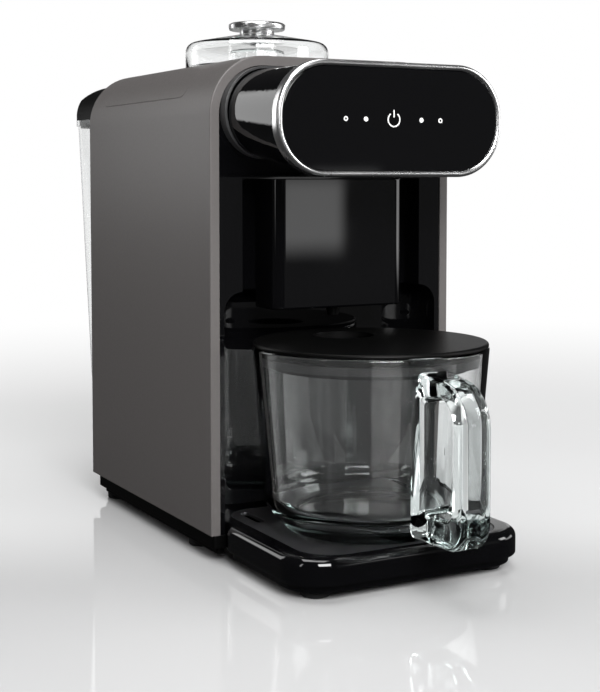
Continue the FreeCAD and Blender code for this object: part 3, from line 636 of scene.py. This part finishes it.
knob = rounded([(0, knob_low.z, 0), (12.5, knob_low.z, 0.4), (12.5, knob_low.z + 2.6, 0.5),
                (20.2, knob_low.z + 3.0, 1.0), (knob_high.x, knob_high.z - 1.2, 1.4),
                (18.6, knob_high.z, 1.6), (0, knob_high.z - 0.5, 0)])
stand_for(spin("dome_knob", knob, mill_y), "dome_knob", ["lid_knob"])
print("dome radius in mm:", round(reach, 1))

# %% [markdown]
# ## The glass pitcher
# A pressed glass jug and its handle are one piece of glass. The bowl is spun,
# the handle is a rounded bar whose thickness changes along a C, and a Boolean
# joins them after the inside of the bowl has been cut from the bar. Without the
# join, a wall of glass would show inside the glass.

# %% Pitcher
jug_low, jug_high = span("pitcher")
lid_low, lid_high = span("pitcher_lid")
jug_y = (lid_low.y + lid_high.y) / 2
rim = jug_high.z
rim_radius = jug_high.x
low = jug_low.z
glass = 3.6
inside = [(0, low + 9.3, 0), (50.0, low + 10.3, 4), (63.2, low + 15.8, 12),
          (rim_radius - glass, rim, 1.7)]
bowl = rounded([(0, low + 2.4, 0), (46.0, low + 2.4, 3), (48.5, low, 1.5), (54.0, low, 5),
                (67.1, low + 14.3, 14), (rim_radius, rim, 1.7)] + inside[::-1], 8)
bowl_mesh = spin("pressed_glass_pitcher", bowl, jug_y, 144)
hollow_mesh = spin("hollow", rounded(inside[:3], 8, False) + [Vector(inside[3][:2]), Vector((0, rim))],
                   jug_y, 144)

half_width = 10.0
near = jug_y - 66.0
outer_y = jug_low.y
foot_z = low + 6.8
top_z = low + 104.3
gap_low_z = low + 24.3
gap_high_z = low + 93.3
outer_line = rounded([(near, foot_z, 3), (outer_y, foot_z, 17),
                      (outer_y, top_z, 26), (near, top_z, 3)], 12)
inner_line = rounded([(near - 12, gap_low_z, 4), (outer_y + 13, gap_low_z, 8),
                      (outer_y + 13, gap_high_z, 14), (near - 12, gap_high_z, 4)], 12)

corner_points = [Vector(p) for p in rounded([(-1, -1, 0.34), (1, -1, 0.34), (1, 1, 0.34),
                                             (-1, 1, 0.34)], 5)]
work = bmesh.new()
rings = []
for outer, inner in zip(outer_line, inner_line):
    centre = (outer + inner) / 2
    arm = (outer - inner) / 2
    root = max(0.0, 1 - abs(centre.x - near + 6) / 20)
    flare = 1 + 0.3 * root * root
    if centre.y > low + 60:
        arm = arm + Vector((0, 3.0 * root * root))
        centre = centre + Vector((0, 1.5 * root * root))
    squeeze = half_width * 0.34 / arm.length
    ring_points = []
    for p in corner_points:
        across = p.y
        if abs(across) > 0.66:
            across = math.copysign(1 - (1 - abs(across)) * min(squeeze / 0.34, 1.6), across)
        at = centre + arm * across
        ring_points.append(work.verts.new((p.x * half_width * flare * MM, at.x * MM, at.y * MM)))
    rings.append(ring_points)
for this, other in zip(rings, rings[1:] + rings[:1]):
    for k in range(len(this)):
        nxt = (k + 1) % len(this)
        work.faces.new([this[k], this[nxt], other[nxt], other[k]])
bmesh.ops.recalc_face_normals(work, faces=work.faces)
handle_mesh = bpy.data.meshes.new("handle")
work.to_mesh(handle_mesh)
work.free()


def combine(first, second, operation):
    """Boolean of two meshes, as a new plain mesh."""
    base = bpy.data.objects.new("base", first)
    tool = bpy.data.objects.new("tool", second)
    for obj in (base, tool):
        bpy.context.scene.collection.objects.link(obj)
    step = base.modifiers.new("step", "BOOLEAN")
    step.operation = operation
    step.solver = "EXACT"
    step.object = tool
    view = bpy.context.evaluated_depsgraph_get()
    mesh = bpy.data.meshes.new_from_object(base.evaluated_get(view))
    bpy.data.objects.remove(base)
    bpy.data.objects.remove(tool)
    return mesh


trimmed = combine(handle_mesh, hollow_mesh, "DIFFERENCE")
joined = combine(bowl_mesh, trimmed, "UNION")
joined.name = "pressed_glass_pitcher"
shade(joined, 28)
stand_for(joined, "pressed_glass_pitcher", ["pitcher"])
print("pitcher faces:", len(joined.polygons))

# %% [markdown]
# ## Feet and screws
# Feet and screws repeat, so each kind is modelled once and a Geometry Nodes tree
# sets a copy on every point of a small mesh. The points are the middles of the
# frame's own feet and screws, and a seeded turn keeps the screw slots from all
# lining up, as they never do on a real machine.

# %% A tree that sets copies on points
def copies_tree(name, finish):
    tree, given = open_tree(name, {"Pattern": "Object", "Turn": "Float", "Seed": "Int",
                                   "Aim": "Vector"})
    pattern = add(tree, "GeometryNodeObjectInfo", {"Object": given.outputs["Pattern"]})
    turn = add(tree, "FunctionNodeRandomValue", {2: 0.0, 3: given.outputs["Turn"],
                                                 "Seed": given.outputs["Seed"]}, data_type="FLOAT")
    spun = add(tree, "ShaderNodeCombineXYZ", {"Z": turn.outputs[1]})
    laid = add(tree, "GeometryNodeInstanceOnPoints",
               {"Points": given.outputs["Geometry"], "Instance": pattern.outputs["Geometry"],
                "Rotation": given.outputs["Aim"]})
    local = add(tree, "GeometryNodeRotateInstances", {"Instances": laid.outputs[0],
                                                      "Rotation": spun.outputs[0]})
    local.inputs["Local Space"].default_value = True
    close_tree(tree, local.outputs[0], finish)
    return tree


def islands(node):
    """The boxes, in mm, of the separate solids in a frame node."""
    work = bmesh.new()
    work.from_mesh(frame["nodes"][node].data)
    bmesh.ops.remove_doubles(work, verts=work.verts, dist=0.002 * MM)
    left = set(work.verts)
    boxes = []
    while left:
        group = {left.pop()}
        edge = list(group)
        while edge:
            edge = [e.other_vert(v) for v in edge for e in v.link_edges
                    if e.other_vert(v) not in group]
            group.update(edge)
        left -= group
        found = [v.co / MM for v in group]
        boxes.append((Vector(min(p[i] for p in found) for i in range(3)),
                      Vector(max(p[i] for p in found) for i in range(3))))
    work.free()
    return sorted(boxes, key=lambda b: tuple(round(c, 2) for c in b[0]))


def lay_copies(name, node, pattern_mesh, places, aim=(0, 0, 0), turn=0.0, seed=1):
    """Replace a node of repeated parts by copies of one mesh at places in mm."""
    points = bpy.data.meshes.new(name)
    points.from_pydata([Vector(p) * MM for p in places], [], [])
    pattern = bpy.data.objects.new("pattern", pattern_mesh)
    bpy.context.scene.collection.objects.link(pattern)
    mesh = grow(copies_tree(name + "_copies", finishes[slot_of[node]]), points,
                {"Pattern": pattern, "Turn": turn, "Seed": seed, "Aim": aim})
    bpy.data.objects.remove(pattern)
    shade(mesh, 35)
    stand_for(mesh, name, [node])
    print(name, len(places), "copies,", len(mesh.polygons), "faces")


# %% Feet
foot_boxes = islands("base_feet")
foot_radius = (foot_boxes[0][1].x - foot_boxes[0][0].x) / 2
foot_high = foot_boxes[0][1].z
foot_outline = rounded([(0, 0.6, 0), (foot_radius - 3.0, 0.6, 0.3), (foot_radius - 3.0, 0, 0.3),
                        (foot_radius, 0, 1.3), (foot_radius, foot_high, 0), (0, foot_high, 0)])
foot_mesh = spin("foot", foot_outline, 0, 48)
for name, node in (("body_feet", "base_feet"), ("tray_rubber_feet", "tray_feet")):
    middles = [((a.x + b.x) / 2, (a.y + b.y) / 2, 0) for a, b in islands(node)]
    lay_copies(name, node, foot_mesh, middles)


# %% Screws
def screw_mesh(head, head_high, shank, length):
    """A pan-head screw under z = 0, its head above, with a cross cut in the head."""
    outline = rounded([(0, -length, 0), (shank * 0.55, -length, 0.2), (shank, -length + 1.2, 0.2),
                       (shank, 0, 0), (head, 0, 0.2), (head, head_high, head_high * 0.55),
                       (0, head_high, 0)], 5)
    body = spin("screw", outline, 0, 32)
    cutter = bmesh.new()
    for wide, deep in ((head * 0.55, head * 0.13), (head * 0.13, head * 0.55)):
        bmesh.ops.create_cube(cutter, size=1, matrix=Matrix.Translation((0, 0, head_high * MM))
                              @ Matrix.Diagonal((2 * wide * MM, 2 * deep * MM, head_high * MM, 1)))
    cross = bpy.data.meshes.new("cross")
    cutter.to_mesh(cross)
    cutter.free()
    return combine(body, cross, "DIFFERENCE")


flip = (math.pi, 0, 0)
backwards = (-math.pi / 2, 0, 0)
for name, node, axis, sign, aim, sizes in (
        ("motor_fixing_screws", "motor_screws", 2, 1, (0, 0, 0), (3.6, 2.4, 1.5, 16.0)),
        ("base_fixing_screws", "base_screws", 2, -1, flip, (4.0, 2.0, 1.9, 9.0)),
        ("rear_fixing_screws", "rear_screws", 1, 1, backwards, (3.8, 2.2, 1.9, 9.0))):
    places = []
    for low_corner, high_corner in islands(node):
        at = (low_corner + high_corner) / 2
        at[axis] = high_corner[axis] - sizes[1] if sign > 0 else low_corner[axis] + sizes[1]
        places.append(tuple(at))
    lay_copies(name, node, screw_mesh(*sizes), places, aim, 3.1, 7)

# %% [markdown]
# ## Marks on the touch plate
# The keys sit behind the glass and show only as small printed marks: a standby
# symbol between two pairs of dots. They are thin plates a tenth of a millimetre
# proud, so the mark is a real shape and stays sharp from close by.

# %% Printed marks
tree, place, shader = new_finish("print", "white_screen_print")
vary(tree, place, shader, ("#d4d4d2", "#e2e2e0"), 0.5, (0.4, 0.5), 0.004)


def flat_ring(work, centre, outer, inner, start, sweep, steps, y):
    """A flat arc band in the plate's plane, as a thin closed solid."""
    around = []
    for k in range(steps + 1):
        a = start + sweep * k / steps
        u, v = math.cos(a), math.sin(a)
        around.append([work.verts.new(((centre[0] + r * u) * MM, d * MM, (centre[1] + r * v) * MM))
                       for r, d in ((inner, y), (outer, y), (outer, y - 0.12), (inner, y - 0.12))])
    whole = abs(sweep) > 6.28
    if whole:
        around[-1] = around[0]
    for this, other in zip(around, around[1:]):
        for k in range(4):
            nxt = (k + 1) % 4
            work.faces.new([this[k], this[nxt], other[nxt], other[k]])
    if not whole:
        work.faces.new(around[0])
        work.faces.new(around[-1][::-1])


plate_y = plate_low.y - 0.005
centre_z = (plate_low.z + plate_high.z) / 2
work = bmesh.new()
flat_ring(work, (0, centre_z), 4.6, 3.8, math.radians(125), math.radians(290), 48, plate_y)
stem_at = Matrix.Translation((0, (plate_y - 0.06) * MM, (centre_z + 3.6) * MM))
stem_size = Matrix.Diagonal((0.8 * MM, 0.12 * MM, 4.6 * MM, 1))
bmesh.ops.create_cube(work, size=1, matrix=stem_at @ stem_size)
for x in (-34, -20, 20, 34):
    flat_ring(work, (x, centre_z), 1.5, 0.75 if abs(x) > 30 else 0.02, 0, 2 * math.pi, 24, plate_y)
bmesh.ops.recalc_face_normals(work, faces=work.faces)
marks = bpy.data.meshes.new("touch_marks")
work.to_mesh(marks)
work.free()
piece = bpy.data.objects.new("touch_marks", marks)
bpy.context.scene.collection.objects.link(piece)
marks.materials.append(finishes["print"])
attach(piece, "housing")
print("marks faces:", len(marks.polygons))

# %% [markdown]
# ## Carried-over parts
# The inner parts keep their frame shapes, which are already right. Each one
# takes the procedural finish of the material that it is really made of.

# %% Finish the frame's own nodes
for name, obj in frame["nodes"].items():
    for socket in obj.material_slots:
        socket.link = "OBJECT"
        socket.material = finishes[slot_of[name]]
print("frame nodes shown:", len([o for o in frame["nodes"].values() if not o.hide_render]))

# %% [markdown]
# ## Last update
# The visual model has to keep the size of the engineering model. At the end the view layer is brought
# up to date once more.

# %% Sizes
bpy.context.view_layer.update()
